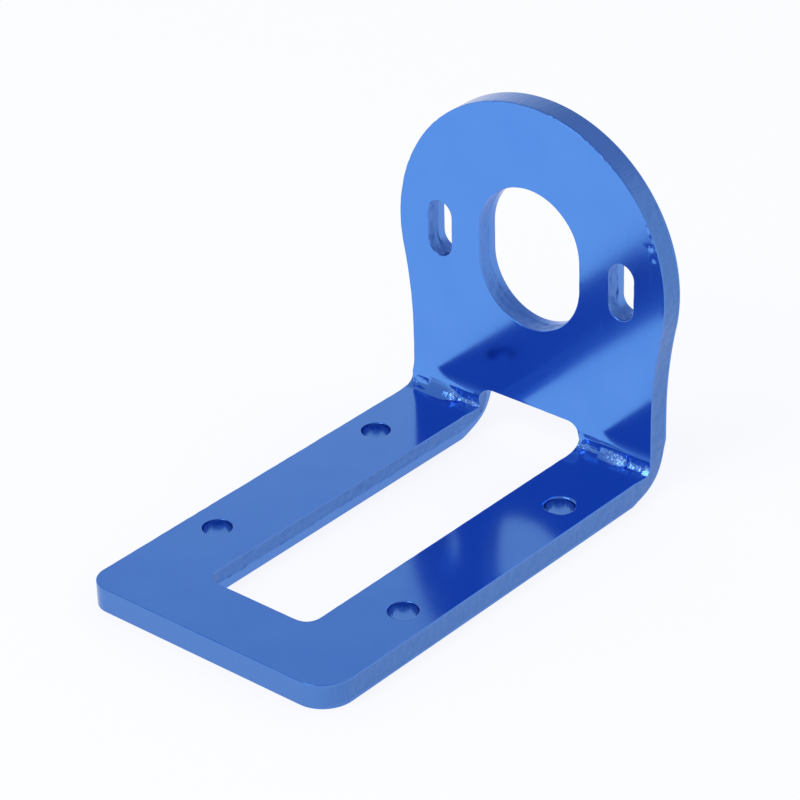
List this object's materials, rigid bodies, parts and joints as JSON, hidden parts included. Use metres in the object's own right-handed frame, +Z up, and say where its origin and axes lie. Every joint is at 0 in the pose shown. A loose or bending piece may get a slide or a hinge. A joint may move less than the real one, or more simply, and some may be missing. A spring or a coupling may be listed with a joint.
{
  "type": "motor mounting bracket",
  "caption": "Folded sheet angle with a windowed base, screw holes and a round-headed upright with a boss hole and slots for a small motor.",
  "frame": {"origin": "on the underside of the base, under the middle of the bounding box", "axes": "+Z up from the base, +Y along the base towards the upright and along the motor's axis, +X across the bracket to the right seen from the free end"},
  "size_m": [0.0364, 0.0562, 0.042],
  "materials": {
    "blue_sheet": "glossy blue anodised sheet, mirror-like on the faces and rougher on the punched edges"
  },
  "bodies": {
    "root": {"bracket": "blue_sheet"}
  },
  "joints": []
}
